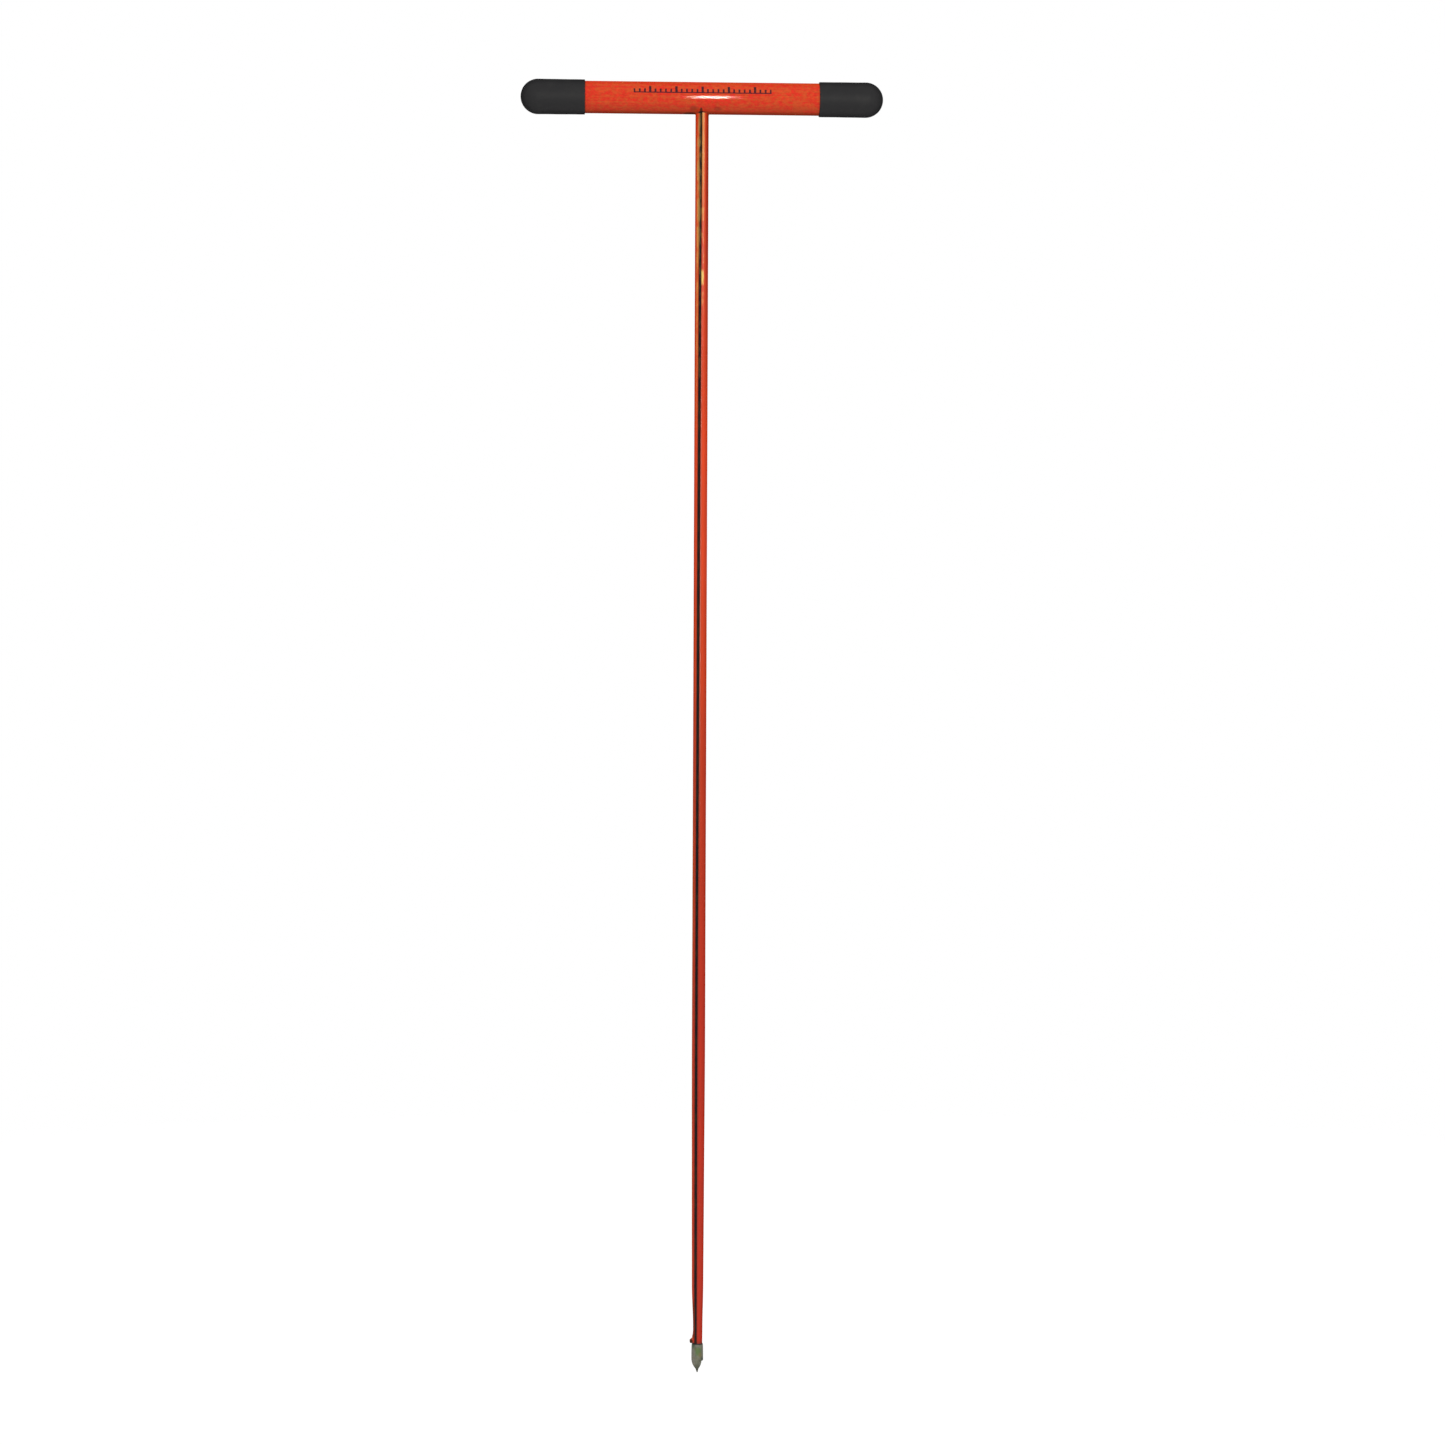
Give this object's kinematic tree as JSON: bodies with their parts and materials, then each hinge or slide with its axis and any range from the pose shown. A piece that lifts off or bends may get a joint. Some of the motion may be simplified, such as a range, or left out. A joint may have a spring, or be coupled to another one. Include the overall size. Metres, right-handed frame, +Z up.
{
  "type": "soil sampling probe",
  "caption": "T-handled hand probe: a capped fibreglass cross handle, a long slim grooved shaft and a screw-on steel point, pushed into soil by hand.",
  "frame": {"origin": "where the axes of the cross handle and the shaft meet, in the middle of the handle", "axes": "+Z up along the shaft from the point to the handle, +X along the cross handle to the right as seen from the front, -Y towards the front, where the shaft's groove lies"},
  "size_m": [0.347, 0.0334, 1.2359],
  "materials": {
    "handle_orange": "matt orange pultruded fibreglass with a fine drag grain",
    "core_grey": "bare cast nylon, hidden",
    "cap_black": "dipped black vinyl, dull",
    "shaft_orange": "glossy orange solid fibreglass with lengthwise fibres, and a black groove",
    "resin_brown": "brown bonding resin, uneven",
    "stud_steel": "plain rolled thread",
    "washer_fibre": "dark brown sealing fibre",
    "tip_steel": "turned and oiled steel, olive grey, darker at the point"
  },
  "bodies": {
    "probe_body": {"handle_tube": "handle_orange", "core_plug": "core_grey", "end_cap_left": "cap_black", "end_cap_right": "cap_black", "shaft": "shaft_orange", "resin_bead": "resin_brown", "tip_stud": "stud_steel"},
    "washer": {"seal_washer": "washer_fibre"},
    "tip": {"probe_tip": "tip_steel"}
  },
  "joints": [
    {"name": "tip_travel", "type": "slide", "parent": "probe_body", "child": "washer", "axis": [0, 0, -1], "range_m": [0, 0.0127]},
    {"name": "tip_turn", "type": "hinge", "parent": "washer", "child": "tip", "pos_m": [0, 0, -1.2], "axis": [0, 0, -1], "range_deg": [0, 3600]}
  ],
  "couplings": [
    {"joint": "tip_travel", "follows": "tip_turn", "m_per_rad": 0.00020213}
  ]
}
